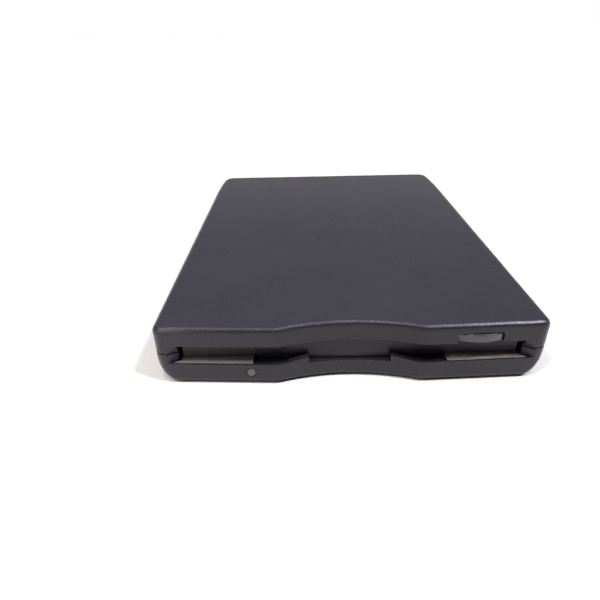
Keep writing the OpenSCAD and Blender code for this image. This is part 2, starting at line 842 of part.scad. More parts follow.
cam_angle = atan2(-holder_drop, eject_travel);
cam_length = norm([eject_travel, holder_drop]);

// Inclined slot of the slider: the holder's pin falls as the slider comes forward
module cam_profile(y) {
    bar = slot_r * 0.99;
    translate([y, guide_z]) circle(slot_r);
    translate([y + eject_travel, guide_z - holder_drop]) circle(slot_r);
    translate([y, guide_z]) rotate(cam_angle) translate([0, -bar])
        square([cam_length, 2 * bar]);
}

module slider_plate() {
    flange_z = guide_z - holder_drop - slot_r - 1;
    color(steel) {
        translate([0, 0, z_slider]) linear_extrude(slider_t) difference() {
            union() {
                translate([-slider_out, y_slider])
                    square([2 * slider_out, y_slider_end - y_slider]);
                translate([button_x - tab_half, y_slider - 6]) square([2 * tab_half, 7]);
                // ears that slide on top of the chassis walls
                for (y = guide_y) translate([-chassis_out + 0.1, y + 13])
                    square([2 * chassis_out - 0.2, 8]);
            }
            // window over the head arm
            round_rect([-carriage_half - 2, spindle_y + 12], [carriage_half + 2, y_slider_end + 5], 2);
            // windows that lighten the plate
            for (s = [-1, 1]) round_rect([s * 32 - 8, y_slider + 13], [s * 32 + 8, spindle_y - 6], 3);
            translate([0, spindle_y]) circle(8);
        }
        at_sides() along_x(slider_in, slider_out) difference() {
            for (y = guide_y)
                polygon([[y - 5, z_slider + eps], [y - 5, flange_z + 2], [y - 3, flange_z],
                    [y + 9, flange_z], [y + 11, flange_z + 2], [y + 11, z_slider + eps]]);
            for (y = guide_y) cam_profile(y);
        }
        at_sides() box([spring_x - 1, spring_y + spring_l + 0.2, spring_z - 0.6],
            [spring_x + 1, spring_y + spring_l + 0.8, z_slider + eps]);
    }
}

tab_half = 3.5;
spring_x = 20;
spring_y = y_slider + 14;
spring_l = 16;
spring_z = z_slider - 0.9;

module eject_button() {
    nose = y_front;
    half = button_w / 2;
    crown_r = (half * half + button_crown * button_crown) / (2 * button_crown);
    swing = asin(half / crown_r);
    front = arc([button_x, nose + crown_r], crown_r, 270 - swing, 270 + swing, 10);
    plan = concat(front, [[button_x + half, button_back], [button_x - half, button_back]]);
    soft = 0.3;
    color("#26252a") {
        hull() {
            translate([0, 0, button_z + soft]) linear_extrude(button_h - 2 * soft) polygon(plan);
            translate([0, 0, button_z]) linear_extrude(button_h)
                polygon([for (p = plan) [button_x + (p[0] - button_x) * 0.96,
                    p[1] < button_back - 0.1 ? p[1] + soft : p[1]]]);
        }
        difference() {
            box([button_x - tab_half - 1.1, button_back - 0.4, z_slider - 0.35],
                [button_x + tab_half + 1.1, y_slider - 1, button_z + button_h - 0.05]);
            box([button_x - tab_half - 0.1, y_slider - 6 - 0.05, z_slider - 0.03],
                [button_x + tab_half + 0.1, y_slider, z_slider + slider_t]);
        }
    }
}

// Coil of round wire along Y: straight stubs at the ends, one unbroken tube
module coil_spring(length, turns, coil_r, wire_r) {
    sides = 6;
    per_turn = 8;
    steps = turns * per_turn;
    path = [for (i = [0:steps]) [coil_r * cos(360 * i / per_turn), length * i / steps,
        coil_r * sin(360 * i / per_turn)]];
    points = [for (i = [0:steps]) let (
            a = 360 * i / per_turn,
            out = [cos(a), 0, sin(a)],
            up = [0, 1, 0])
        for (k = [0:sides - 1]) path[i]
            + wire_r * (cos(360 * k / sides) * out + sin(360 * k / sides) * up)];
    quads = [for (i = [0:steps - 1]) for (k = [0:sides - 1])
        [i * sides + k, i * sides + (k + 1) % sides,
            (i + 1) * sides + (k + 1) % sides, (i + 1) * sides + k]];
    faces = [for (q = quads) each [[q[0], q[1], q[2]], [q[0], q[2], q[3]]]];
    polyhedron(points, concat(faces, [[for (k = [sides - 1:-1:0]) k]],
        [[for (k = [0:sides - 1]) steps * sides + k]]));
}

module eject_springs() {
    color(steel) at_sides() translate([spring_x, spring_y, spring_z])
        coil_spring(spring_l, 12, 0.6, 0.15);
}

// ---- disk holder and shutter lever ----

lever_at = [5 - disk_w / 2, y_disk_end - lever_l * cos(lever_half_swing) * 0.65];
lever_pin_r = 1;
lever_eye_r = 3.4;
lever_tip_r = 1.9;

// Arc slot that the lever's pin sweeps along
module lever_slot() {
    r = lever_pin_r + 0.3;
    far = 2.5 * lever_l;
    translate(lever_at) {
        for (s = [-1, 1]) rotate(s * lever_half_swing) translate([lever_l, 0]) circle(r * 0.98);
        difference() {
            intersection() {
                circle(lever_l + r, $fn = 96);
                polygon([[0, 0], [far, -far * tan(lever_half_swing)], [far, far * tan(lever_half_swing)]]);
            }
            circle(lever_l - r, $fn = 96);
        }
    }
}

module disk_holder() {
    rail_w = 4;
    color(steel) {
        translate([0, 0, z_roof]) linear_extrude(holder_t) difference() {
            translate([-holder_out, y_holder]) square([2 * holder_out, y_holder_end - y_holder]);
            round_rect([-carriage_half - 1.5, spindle_y + 18],
                [carriage_half + 1.5, y_holder_end + 5], 2);
            translate([0, spindle_y]) circle(9);
            for (s = [-1, 1])
                round_rect([s * 31 - 6.5, y_holder + 12], [s * 31 + 6.5, y_holder + 25], 3);
            // notch over the free end of the lead screw
            translate([stepper_x - 6, y_disk_end + 0.6]) square([12, 20]);
            lever_slot();
            translate(lever_at) circle(lever_post_r + running);
        }
        at_sides() {
            box([holder_in, y_holder, z_rail], [holder_out, y_holder_end, z_roof + eps]);
            difference() {
                box([holder_in - rail_w, y_holder, z_rail],
                    [holder_in + eps, y_holder_end, z_rail + holder_t]);
                // lead-in for the disk
                translate([holder_in - rail_w, y_holder, z_rail - 1]) rotate(60)
                    translate([-6, -6, 0]) cube([12, 6, 3]);
            }
            for (y = guide_y) translate([holder_out - 0.1, y, guide_z]) rotate([0, 90, 0])
                cylinder(h = chassis_out - holder_out + 0.1, r = guide_r);
            // hook of the eject spring
            box([spring_x - 1, spring_y - 0.8, z_roof], [spring_x + 1, spring_y - 0.2, spring_z + 0.6]);
            // springs that press the disk down, pressed out of the roof
            for (y = [y_holder + 28, y_holder + 56])
                box([holder_in - 5, y, z_roof - 0.15], [holder_in - 2, y + 9, z_roof + eps]);
        }
    }
}

lever_post_r = 1.4;
lever_spring_h = 0.66;

module lever_post() {
    color(steel) translate([lever_at[0], lever_at[1], z_roof - 0.05]) {
        cylinder(h = holder_t + 0.2 + lever_t + lever_spring_h + 0.2, r = lever_post_r);
        translate([0, 0, holder_t + 0.2 + lever_t + lever_spring_h + 0.1])
            cylinder(h = 0.25, r = lever_post_r + 1);
    }
}

module shutter_lever() {
    color(steel) translate([lever_at[0], lever_at[1], z_lever]) rotate(-lever_half_swing) {
        linear_extrude(lever_t) difference() {
            union() {
                circle(lever_eye_r);
                polygon([[0, 0.2 - lever_eye_r], [lever_l, -lever_tip_r], [lever_l, lever_tip_r],
                    [0, lever_eye_r - 0.2]]);
                translate([lever_l, 0]) circle(lever_tip_r);
            }
            circle(lever_post_r + running);
            translate([lever_l * 0.5, 0]) circle(1.2);
        }
        translate([lever_l, 0, z_up + 2 - z_lever]) cylinder(h = z_lever - z_up - 2 + eps, r = lever_pin_r);
    }
}

// Torsion spring round the lever's post
module lever_spring() {
    wire = 0.1;
    color(steel) translate([lever_at[0], lever_at[1], z_lever + lever_t + wire + 0.03])
        rotate([90, 0, 0]) coil_spring(lever_spring_h - 2 * wire, 3, lever_post_r + wire + 0.1, wire);
}

// ---- dust door ----

module dust_door() {
    back = door_y + door_t / 2;
    color("#232227") {
        along_x(-door_barrel_half, door_barrel_half) translate([door_y, door_z]) circle(door_barrel_r);
        at_sides() translate([door_barrel_half - eps, door_y, door_z]) rotate([0, 90, 0])
            cylinder(h = mouth_half - door_barrel_half + 1.2, r = door_pin_r);
        along_y(back - door_t, back) polygon([
            [-door_barrel_half, door_z], [-door_barrel_half, door_z - 1.2],
            [-door_half, door_z - 1.2], [-door_half, door_foot], [-door_tab_half, door_foot],
            [-door_tab_half + 0.5, door_tab_foot], [door_tab_half - 0.5, door_tab_foot],
            [door_tab_half, door_foot], [door_half, door_foot], [door_half, door_z - 1.2],
            [door_barrel_half, door_z - 1.2], [door_barrel_half, door_z]
        ]);
        // stiffening rib along the foot, on the inner side
        box([-door_half + 4, back - eps, door_foot + 0.5], [door_half - 4, back + 0.4, door_foot + 1.1]);
    }
}

// Torsion springs round the door's pivot pins
module door_springs() {
    wire = 0.09;
    length = door_half - door_barrel_half - 0.5;
    color(steel) at_sides() translate([door_barrel_half + 0.2, door_y, door_z]) rotate(-90)
        coil_spring(length, 6, door_pin_r + wire + 0.08, wire);
}

// ---- spindle motor ----

module motor_board() {
    color("darkgreen") translate([0, spindle_y, z_motor_board]) difference() {
        linear_extrude(motor_board_t) difference() {
            union() {
                circle(rotor_r + 2);
                translate([-14, -rotor_r - 9]) square([28, 14]);
            }
            circle(bearing_r + running);
            for (s = [-1, 1]) translate([s * 11, -rotor_r - 6]) circle(1.1);
        }
    }
}

coils = 9;

module stator_coils() {
    ring_r = rotor_r - 7.5;
    color("peru") translate([0, spindle_y, z_coils]) for (i = [0:coils - 1])
        rotate(360 * i / coils) translate([ring_r, 0, 0]) linear_extrude(coil_h) difference() {
            round_rect([-3, -2.9], [3, 2.9], 1.2);
            round_rect([-1.4, -1.3], [1.4, 1.3], 0.5);
        }
}

module spindle_bearing() {
    color("goldenrod") translate([0, spindle_y, z_chassis]) difference() {
        cylinder(h = z_cup_top - cup_t - 0.3 - z_chassis, r = bearing_r);
        translate([0, 0, -1]) cylinder(h = 20, r = shaft_r + running);
    }
}

module rotor_cup() {
    color("gainsboro") translate([0, spindle_y, 0]) difference() {
        union() {
            translate([0, 0, z_cup_top - cup_t]) cylinder(h = cup_t, r = rotor_r);
            translate([0, 0, z_magnet]) difference() {
                cylinder(h = z_cup_top - cup_t - z_magnet + eps, r = rotor_r);
                translate([0, 0, -1]) cylinder(h = 20, r = rotor_r - 0.5);
            }
        }
        translate([0, 0, z_magnet - 1]) cylinder(h = 20, r = shaft_r);
        for (a = [45:90:315]) rotate(a) translate([rotor_r - 4.5, 0, z_cup_top - 2])
            cylinder(h = 4, r = 1.5);
    }
}

module rotor_magnet() {
    color("dimgray") translate([0, spindle_y, z_magnet]) difference() {
        cylinder(h = z_cup_top - cup_t - z_magnet - 0.02, r = rotor_r - 0.52);
        translate([0, 0, -1]) cylinder(h = 20, r = rotor_r - 0.5 - magnet_t);
    }
}

module hub_table() {
    color("silver") translate([0, spindle_y, z_hub]) difference() {
        union() {
            cylinder(h = hub_h, r = hub_r);
            translate([0, 0, hub_h - eps]) cylinder(h = 0.15, r = 5);
        }
        translate([0, 0, -1]) cylinder(h = 3, r = spindle_r);
        rotate(20) translate([drive_pin_at, 0, -1]) round_box([-1.5, -1.9, 0], [1.5, 1.9, 3], 1.4);
    }
}

module spindle_shaft() {
    color("lightgray") translate([0, spindle_y, 0]) {
        translate([0, 0, z_chassis + 0.1]) cylinder(h = z_hub - z_chassis - 0.1 + eps, r = shaft_r);
        translate([0, 0, z_hub]) cylinder(h = 1.2, r = spindle_r);
        translate([0, 0, z_hub + 1.2 - eps]) cylinder(h = 0.5, r1 = spindle_r, r2 = spindle_r - 0.5);
    }
}

module drive_pin() {
    color("lightgray") translate([0, spindle_y, z_hub]) rotate(20) translate([drive_pin_at, 0, 0]) {
        cylinder(h = 1.3, r = 1);
        translate([0, 0, 1.3 - eps]) cylinder(h = 0.25, r1 = 1, r2 = 0.7);
    }
}

// ---- heads ----

module head_carriage() {
    color("#3b3b40") difference() {
        union() {
            // tongue under the disk, carrying the lower head
            box([-tongue_half, head_y - 4, z_rod - 0.3], [tongue_half, tower_y + 1, tongue_top]);
            // tower behind the disk
            box([-carriage_half, tower_y, z_rod - 0.6], [carriage_half, tower_y + tower_l, tongue_top + 1]);
            at_sides() box([carriage_half - arm_cheek_t, tower_y + 2, tongue_top],
                [carriage_half, tower_y + tower_l, arm_z + 1.2]);
            // bushes on the two rods
            for (s = [-1, 1])
                box([s * rod_x - 2.2, tower_y, z_rod - rod_r - 0.3],
                    [s * rod_x + 2.2, tower_y + tower_l, z_rod + rod_r + 1]);
            box([-rod_x, tower_y, z_rod - 0.3], [rod_x, tower_y + tower_l, z_rod + rod_r + 0.9]);
            // flag that enters the track-zero sensor
            box([sensor_x - 0.3, tower_y, z_rod + rod_r + 0.2], [-rod_x, tower_y + 2, z_rod + rod_r + 0.9]);
            box([sensor_x - 0.3, tower_y, z_rod + rod_r + 0.5],
                [sensor_x + 0.3, tower_y + tower_l + 0.6, z_up - 0.3]);
            // arm that reaches to the lead screw
            box([carriage_half, tower_y + 2.5, z_screw - 1],
                [stepper_x - screw_shaft_r - 0.2, tower_y + 4.5, z_screw + 1]);
            box([carriage_half - 0.5, tower_y + 2.5, tongue_top],
                [carriage_half + 2, tower_y + 4.5, z_screw + 1]);
        }
        for (s = [-1, 1]) translate([s * rod_x, tower_y + tower_l + 1, z_rod]) rotate([90, 0, 0])
            cylinder(h = tower_l + 2, r = rod_r + running);
        translate([-carriage_half - 1, arm_y, arm_z]) rotate([0, 90, 0])
            cylinder(h = 2 * carriage_half + 2, r = arm_pin_r + running);
        // seat of the lower head
        box([-head_w / 2 - 0.4, head_y - head_w / 2 - 0.4, tongue_top - 0.5],
            [head_w / 2 + 0.4, head_y + head_w / 2 + 0.4, tongue_top + 1]);
    }
}

module lower_head() {
    half = head_w / 2;
    color("darkslategray") {
        box([-half - 0.4, head_y - half - 0.4, tongue_top - 0.5], [half + 0.4, head_y + half + 0.4, tongue_top]);
        box([-half, head_y - half, tongue_top - eps], [half, head_y + half, z_media]);
    }
}

lift_at = 12.3;
lift_l = 1;

// Turns what is drawn with the arm down to the raised arm of the unloaded drive
module raised() {
    translate([0, arm_y, arm_z]) rotate([-arm_swing, 0, 0]) translate([0, -arm_y, -arm_z]) children();
}

module head_arm() {
    half = carriage_half - arm_cheek_t - clear;
    z_arm = z_upper_head + upper_head_h;
    z_lift = z_roof + holder_t + 0.05 - (lift_at - lift_l / 2) * sin(arm_swing);
    color(steel) raised() difference() {
        union() {
            round_box([-tongue_half, head_y - 2.4, z_arm], [tongue_half, arm_y, z_arm + arm_t], 0.8);
            translate([-half, arm_y, arm_z]) rotate([0, 90, 0]) cylinder(h = 2 * half, r = 1.3);
            // stiffening ribs pressed along the plate
            for (s = [-1, 1])
                round_box([s * 3.2 - 0.6, head_y + 2.5, z_arm + arm_t - eps],
                    [s * 3.2 + 0.6, arm_y - 1.6, z_arm + arm_t + 0.3], 0.5);
            // bar that the holder's roof lifts
            box([-tongue_half, arm_y - lift_at - lift_l / 2, z_arm],
                [tongue_half, arm_y - lift_at + lift_l / 2, z_lift + 0.6]);
            box([-carriage_half - 3.4, arm_y - lift_at - lift_l / 2, z_lift],
                [carriage_half + 3.4, arm_y - lift_at + lift_l / 2, z_lift + 0.6]);
        }
        translate([-half - 1, arm_y, arm_z]) rotate([0, 90, 0])
            cylinder(h = 2 * half + 2, r = arm_pin_r);
    }
}

module upper_head() {
    half = head_w / 2;
    color("darkslategray") raised()
        box([-half, head_y - half, z_upper_head], [half, head_y + half, z_upper_head + upper_head_h]);
}

module arm_pin() {
    color(steel) translate([-carriage_half - 0.1, arm_y, arm_z]) rotate([0, 90, 0])
        cylinder(h = 2 * carriage_half + 0.2, r = arm_pin_r);
}

rod_y0 = y_disk_end - 5;
rod_y1 = tower_y + tower_l + 3;

module guide_rods() {
    color(steel) for (s = [-1, 1]) translate([s * rod_x, rod_y1, z_rod]) rotate([90, 0, 0])
        cylinder(h = rod_y1 - rod_y0, r = rod_r);
}

// Clamps that hold the ends of the rods to the chassis
module rod_clamps() {
    color("#3b3b40") for (s = [-1, 1], y = [rod_y0 - 1, rod_y1 - 2]) difference() {
        box([s * rod_x - 2.6, y, z_deck], [s * rod_x + 2.6, y + 3, z_rod + rod_r * 0.8]);
        translate([s * rod_x, (y > rod_y0) ? y + 2 : y + 4, z_rod]) rotate([90, 0, 0])
            cylinder(h = 3, r = rod_r);
    }
}

// ---- stepper ----

module stepper_motor() {
    color("lightgray") translate([stepper_x, y_stepper, z_screw]) rotate([-90, 0, 0]) difference() {
        union() {
            cylinder(h = stepper_l, r = stepper_r);
            translate([0, 0, stepper_l - eps]) cylinder(h = 0.6, r = 2);
            translate([0, 0, -0.5]) cylinder(h = 0.6, r = 2);
        }
        translate([0, 0, -1]) cylinder(h = stepper_l, r = screw_shaft_r + running);
    }
}

module lead_screw() {
    groove_r = screw_shaft_r - 0.2;
    turns = (y_stepper - 2 - y_screw) / screw_lead * 2;
    color(steel) translate([stepper_x, y_screw, z_screw]) rotate([-90, 0, 0]) difference() {
        cylinder(h = y_stepper + 4 - y_screw, r = screw_shaft_r);
        for (i = [1:floor(turns)]) translate([0, 0, i * screw_lead / 2]) difference() {
            cylinder(h = 0.5, r = screw_shaft_r + 1);
            translate([0, 0, -1]) cylinder(h = 3, r = groove_r);
        }
    }
}

// Bracket at the free end of the lead screw, with its thrust cup
module screw_bracket() {
    color(steel) difference() {
        union() {
            box([stepper_x - 4, y_screw - 0.8, z_deck], [stepper_x + 4, y_screw, z_screw + 2.2]);
            translate([stepper_x, y_screw + 1.2, z_screw]) rotate([90, 0, 0]) cylinder(h = 1.6, r = 2.2);
            box([stepper_x - 4, y_screw - 0.8, z_deck], [stepper_x + 4, y_screw + 5, z_deck + 0.8]);
        }
        translate([stepper_x, y_screw + 2, z_screw]) rotate([90, 0, 0])
            cylinder(h = 2, r = screw_shaft_r + running);
    }
}

sensor_x = -rod_x - 6;

module track_zero_sensor() {
    y0 = tower_y + tower_l - 1.5;
    z0 = z_drive_board + board_t;
    color("#202024") translate([sensor_x - 2, y0, z0]) difference() {
        cube([4, 4.5, 3.6]);
        translate([1.4, -1, 1.2]) cube([1.2, 7, 4]);
    }
}

// ---- switches ----

plunger_top = z_up - 0.3;
switch_top = plunger_top - plunger_travel - 0.2;
plunger_floor = z_deck + 0.3;
switch_y = y_disk + 8;
switch_x = disk_w / 2 - switch_in;
plunger_at = [[switch_x, switch_y], [-switch_x, switch_y], [-switch_x + 7, switch_y]];

module switch_blocks() {
    half = 2.4;
    color("#2e2e33") difference() {
        union() {
            box([switch_x - half, switch_y - half, z_deck], [switch_x + half, switch_y + half, switch_top]);
            box([-switch_x - half, switch_y - half, z_deck],
                [-switch_x + 7 + half, switch_y + half, switch_top]);
        }
        for (p = plunger_at) translate([p[0], p[1], plunger_floor]) cylinder(h = 4, r = plunger_r + running);
    }
}

module plunger(p) {
    foot = plunger_floor + plunger_travel + 0.05;
    translate([p[0], p[1], foot]) cylinder(h = plunger_top - foot - 0.3, r = plunger_r);
    translate([p[0], p[1], plunger_top - 0.3 - eps]) cylinder(h = 0.3, r1 = plunger_r, r2 = plunger_r - 0.3);
}

module write_protect_plunger() {
    color("ivory") plunger(plunger_at[0]);
}

module density_plunger() {
    color("ivory") plunger(plunger_at[1]);
}

module disk_plunger() {
    color("ivory") plunger(plunger_at[2]);
}

// ---- boards ----

module drive_board() {
    color("darkgreen") {
        box([drive_board_x, drive_board_y, z_drive_board],
            [drive_board_x + drive_board_w, drive_board_y + drive_board_d, z_drive_board + board_t]);
        for (x = [drive_board_x + 2.5, drive_board_x + 12], y = [drive_board_y + 2.5, drive_board_y + 19])
            translate([x, y, z_deck]) cylinder(h = z_drive_board - z_deck + eps, r = 1.5);
    }
}

// Box on the drive board, its corners given as shares of the board's width and depth
module on_board(x0, y0, x1, y1, h) {
    z = z_drive_board + board_t;
    box([drive_board_x + x0 * drive_board_w, drive_board_y + y0 * drive_board_d, z],
        [drive_board_x + x1 * drive_board_w, drive_board_y + y1 * drive_board_d, z + h]);
}

module drive_chips() {
    color("#1c1c1f") {
        on_board(0.2, 0.2, 0.47, 0.58, 1.3);
        on_board(0.53, 0.15, 0.74, 0.36, 1.2);
        on_board(0.16, plug_y0, 0.74, plug_y1, 1.6);
    }
}

plug_y0 = 0.8;
plug_y1 = 0.975;
cable_x0 = drive_board_x + 0.19 * drive_board_w;
cable_x1 = drive_board_x + 0.71 * drive_board_w;
cable_t = 0.25;

module flat_cable() {
    z0 = z_drive_board + board_t + 0.8;
    z1 = z_usb_top + 0.8;
    y0 = drive_board_y + plug_y1 * drive_board_d;
    y1 = usb_board_y + 1;
    mid = (y0 + y1) / 2;
    sag = 1.6;
    path = [for (i = [0:12]) let (u = i / 12) [y0 + (y1 - y0) * u, z0 + (z1 - z0) * u + sag * sin(180 * u)]];
    color("whitesmoke") along_x(cable_x0, cable_x1)
        polygon(concat(path, [for (i = [12:-1:0]) [path[i][0], path[i][1] + cable_t]]));
}

module interface_board() {
    color("darkgreen") {
        difference() {
            box([usb_board_x0, usb_board_y, z_usb_board],
                [usb_board_x1, usb_board_y + usb_board_d, z_usb_top]);
            for (x = board_screw_x)
                translate([x, board_screw_y, 0]) cylinder(h = z_top, r = board_screw_r + 0.1);
        }
    }
    // connector of the flat cable
    color("ivory") box([cable_x0 - 1, usb_board_y + 1, z_usb_top], [cable_x1 + 1, usb_board_y + 3.5, z_usb_top + 1.6]);
}

module board_screws() {
    grip = 1.5;
    neck = grip + board_t + 0.02;
    color(steel) for (x = board_screw_x) translate([x, board_screw_y, z_usb_board - grip]) difference() {
        union() {
            cylinder(h = neck + eps, r = board_screw_r);
            translate([0, 0, neck]) cylinder(h = 0.7, r1 = 1.5, r2 = 1.2);
        }
        for (a = [0, 90]) rotate(a) translate([-0.8, -0.15, neck + 0.3]) cube([1.6, 0.3, 1]);
    }
}

// Small ceramic parts in rows on both boards
module board_passives() {
    passive = [0.8, 1.5, 0.55];
    color("tan") {
        for (i = [0:3], j = [0:1])
            on_board(0.54 + i * 0.055, 0.44 + j * 0.12, 0.565 + i * 0.055, 0.51 + j * 0.12, passive[2]);
        for (i = [0:3]) translate([socket_x + socket_w / 2 + 3, usb_board_y + 2.2 + i * 2, z_usb_top])
            cube([passive[1], passive[0], passive[2]]);
        for (i = [0:4]) translate([4 + i * 2, usb_board_y + 8.4, z_usb_top]) cube(passive);
    }
}

// Electrolytic capacitors of the socket's supply
module board_capacitors() {
    can_r = 2;
    color("silver") for (i = [0, 1])
        translate([usb_board_x0 + 8 + i * 5.4, usb_board_y + 7.8, z_usb_top]) {
            cylinder(h = 4.2, r = can_r);
            translate([0, 0, 4.2 - eps]) cylinder(h = 0.3, r1 = can_r, r2 = can_r - 0.3);
        }
}

module bridge_chip() {
    color("#1c1c1f") translate([-4, usb_board_y + 5.5, z_usb_top]) {
        translate([-3.5, -3.5, 0.1]) cube([7, 7, 1.2]);
        for (a = [0:90:270]) rotate(a) for (i = [-5:5]) translate([3.4, i * 0.5 - 0.1, 0])
            cube([0.9, 0.2, 0.5]);
    }
}

module crystal() {
    color("silver") translate([8, usb_board_y + 5, z_usb_top])
        round_box([-5, -2, 0], [5, 2, 3.2], 1.9);
}

module cable_socket() {
    shell_t = 0.3;
    y1 = y_back - 0.5;
    z = z_usb_top;
    color("silver") difference() {
        along_y(y1 - socket_l, y1) difference() {
            socket_shape(0);
            socket_shape(shell_t);
        }
    }
    color("silver") along_y(y1 - socket_l, y1 - socket_l + 0.4) socket_shape(eps);
}

// Cross-section of the socket: narrower at the foot
module socket_shape(inset) {
    half = socket_w / 2 - inset;
    top = z_usb_top + socket_h - inset;
    foot = z_usb_top + inset;
    polygon([[socket_x - half, top], [socket_x - half, foot + 1.6], [socket_x - half + 0.8, foot + 0.7],
        [socket_x - half + 0.8, foot], [socket_x + half - 0.8, foot], [socket_x + half - 0.8, foot + 0.7],
        [socket_x + half, foot + 1.6], [socket_x + half, top]]);
}

module socket_tongue() {
    y1 = y_back - 0.5;
    color("#202024") box([socket_x - 2.4, y1 - socket_l + 0.4, z_usb_top + 1.6],
        [socket_x + 2.4, y1 - 1.6, z_usb_top + 2.3]);
    color("gold") for (i = [-2:2]) box([socket_x + i * 0.8 - 0.15, y1 - socket_l + 0.4, z_usb_top + 1.5],
        [socket_x + i * 0.8 + 0.15, y1 - 2, z_usb_top + 1.6 + eps]);
}

top_cover();
bottom_cover();
rubber_feet();
case_screws();
chassis_screws();
light_pipe();
drive_led();
chassis();
top_shield();
slider_plate();
eject_button();
eject_springs();
disk_holder();
lever_post();
shutter_lever();
lever_spring();
dust_door();
door_springs();
motor_board();
stator_coils();
spindle_bearing();
rotor_cup();
rotor_magnet();
hub_table();
spindle_shaft();
drive_pin();
head_carriage();
lower_head();
head_arm();
upper_head();
arm_pin();
guide_rods();
rod_clamps();
stepper_motor();
lead_screw();
screw_bracket();
track_zero_sensor();
switch_blocks();
write_protect_plunger();
density_plunger();
disk_plunger();
drive_board();
drive_chips();
flat_cable();
interface_board();
board_screws();
board_passives();
board_capacitors();
bridge_chip();
crystal();
cable_socket();
socket_tongue();
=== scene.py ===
"""Looks, light and camera of an external floppy disk drive.

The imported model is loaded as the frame, in metres: X to the right, Y to the back, Z up, the
origin on the surface that the drive stands on. Its meshes keep their places. This script gives
each of them a procedural finish and sets up the studio and the camera.
"""

import logging
import math
from dataclasses import dataclass, field
from enum import Enum
from typing import Dict, Optional, Sequence, Tuple, Union

import bpy
from mathutils import Matrix, Vector

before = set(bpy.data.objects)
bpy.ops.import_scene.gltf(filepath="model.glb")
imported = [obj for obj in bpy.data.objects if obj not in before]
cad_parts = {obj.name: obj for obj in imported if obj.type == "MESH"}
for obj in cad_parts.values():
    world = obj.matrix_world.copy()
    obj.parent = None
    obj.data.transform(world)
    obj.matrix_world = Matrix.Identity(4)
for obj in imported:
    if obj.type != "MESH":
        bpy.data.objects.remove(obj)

LOG = logging.getLogger("drive")
MM = 0.001

Colour = Tuple[float, float, float]
Point = Tuple[float, float, float]
Band = Tuple[float, float]

WHITE: Colour = (1.0, 1.0, 1.0)

# Inputs and output of a Mix node that mixes colours
MIX_FACTOR, MIX_A, MIX_B, MIX_RESULT = 0, 6, 7, 2


class Pattern(Enum):
    """How a surface's fine relief runs."""

    GRAIN = "spark-eroded grain"
    SMOOTH = "smooth moulding"
    ROLLED_X = "rolled along X"
    ROLLED_Y = "rolled along Y"
    TURNED = "turned on a lathe"


@dataclass(frozen=True)
class Finish:
    """Procedural finish of one material.

    Attributes:
        name: Material name.
        base: Linear base colour.
        tint: Linear colour that the mottling leads to.
        pattern: Direction of the fine relief.
        roughness: Mean roughness.
        spread: Half range of the roughness.
        metallic: 0 for plastics, 1 for bare metal.
        grain: Size of the fine relief in metres.
        depth: Strength of the fine relief, from 0 to 1.
        mottle: Size of the colour patches in metres.
        dust: Share of pale dust on faces that look up.
        coat: Weight of a clear coat.
        bevel: Radius of the softened edges in metres.
        specular: Specular level of a non-metal.
        wear: Share of pale, rubbed colour on the sharp edges.
    """

    name: str
    base: Colour
    tint: Colour
    pattern: Pattern = Pattern.SMOOTH
    roughness: float = 0.45
    spread: float = 0.06
    metallic: float = 0.0
    grain: float = 0.3 * MM
    depth: float = 0.15
    mottle: float = 9 * MM
    dust: float = 0.0
    coat: float = 0.0
    bevel: float = 0.08 * MM
    specular: float = 0.5
    wear: float = 0.12


SHELL = Finish(
    "moulded_shell",
    (0.0182, 0.0160, 0.0240),
    (0.0196, 0.0174, 0.0258),
    Pattern.GRAIN,
    roughness=0.28,
    spread=0.02,
    grain=0.40 * MM,
    depth=0.38,
    mottle=14 * MM,
    dust=0.010,
    bevel=0.16 * MM,
    specular=0.38,
    wear=0.25,
)
# Dust door: black plastic whose colour is made much darker than the shell's plastic, so it paints
# the shade deep in the disk slot. Partly the door's own colour, partly painted shade.
DOOR_WITH_PAINTED_SHADE = Finish(
    "door_moulding_with_painted_shade",
    (0.0050, 0.0044, 0.0072),
    (0.0068, 0.0060, 0.0094),
    Pattern.GRAIN,
    roughness=0.36,
    depth=0.10,
    mottle=6 * MM,
    specular=0.42,
)
BUTTON = Finish(
    "button_moulding",
    (0.027, 0.026, 0.034),
    (0.032, 0.031, 0.040),
    Pattern.GRAIN,
    roughness=0.22,
    spread=0.03,
    grain=0.25 * MM,
    depth=0.06,
    mottle=5 * MM,
    coat=0.8,
    bevel=0.35 * MM,
    wear=0.3,
)
LENS = Finish(
    "smoked_lens",
    (0.085, 0.078, 0.078),
    (0.105, 0.097, 0.096),
    roughness=0.30,
    grain=0.15 * MM,
    depth=0.04,
    mottle=1.5 * MM,
    coat=0.3,
)
RUBBER = Finish(
    "rubber_foot",
    (0.010, 0.010, 0.011),
    (0.017, 0.017, 0.018),
    Pattern.GRAIN,
    roughness=0.85,
    grain=0.2 * MM,
    depth=0.25,
    mottle=3 * MM,
)
ZINC = Finish(
    "zinc_sheet",
    (0.46, 0.41, 0.36),
    (0.56, 0.50, 0.45),
    Pattern.ROLLED_X,
    roughness=0.46,
    spread=0.08,
    metallic=0.8,
    grain=0.5 * MM,
    depth=0.10,
    mottle=5 * MM,
)
LONG_ZINC = Finish(
    "zinc_sheet_long",
    (0.44, 0.41, 0.36),
    (0.54, 0.50, 0.44),
    Pattern.ROLLED_Y,
    roughness=0.32,
    spread=0.10,
    metallic=1.0,
    grain=0.5 * MM,
    depth=0.10,
    mottle=7 * MM,
)
WIRE = Finish(
    "spring_wire",
    (0.38, 0.37, 0.36),
    (0.46, 0.45, 0.44),
    roughness=0.28,
    metallic=1.0,
    grain=0.1 * MM,
    depth=0.08,
    mottle=1 * MM,
)
SCREW = Finish(
    "screw_steel",
    (0.22, 0.22, 0.23),
    (0.30, 0.30, 0.31),
    Pattern.TURNED,
    roughness=0.36,
    metallic=1.0,
    grain=0.2 * MM,
    depth=0.12,
    mottle=1.5 * MM,
)
